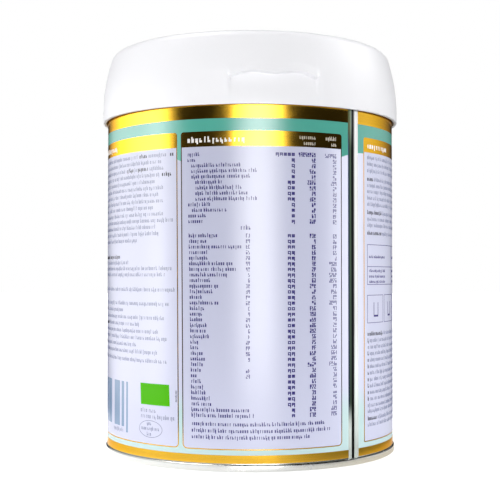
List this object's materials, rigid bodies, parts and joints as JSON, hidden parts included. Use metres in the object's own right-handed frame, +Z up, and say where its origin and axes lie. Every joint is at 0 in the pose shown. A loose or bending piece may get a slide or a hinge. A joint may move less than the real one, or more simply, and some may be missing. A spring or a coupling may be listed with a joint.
{
  "type": "milk powder tin",
  "caption": "Tall round powder tin with a printed wall, a bare side seam, a seamed metal base and a white push-fit lid with a thumb grip, shut.",
  "frame": {"origin": "centre of the tin's foot, on the surface that it stands on", "axes": "+Z up along the tin's axis, -Y towards the front with the thumb grip and the table of rows"},
  "size_m": [0.1312, 0.1316, 0.1745],
  "materials": {
    "printed_tinplate": "glossy print in white, pale green and gold, with a bare strip at the side seam",
    "bare_tinplate": "bright rolled tinplate",
    "white_plastic": "satin moulded white plastic"
  },
  "bodies": {
    "root": {"tin_wall": "printed_tinplate", "base_end": "bare_tinplate", "lid": "white_plastic"}
  },
  "joints": []
}
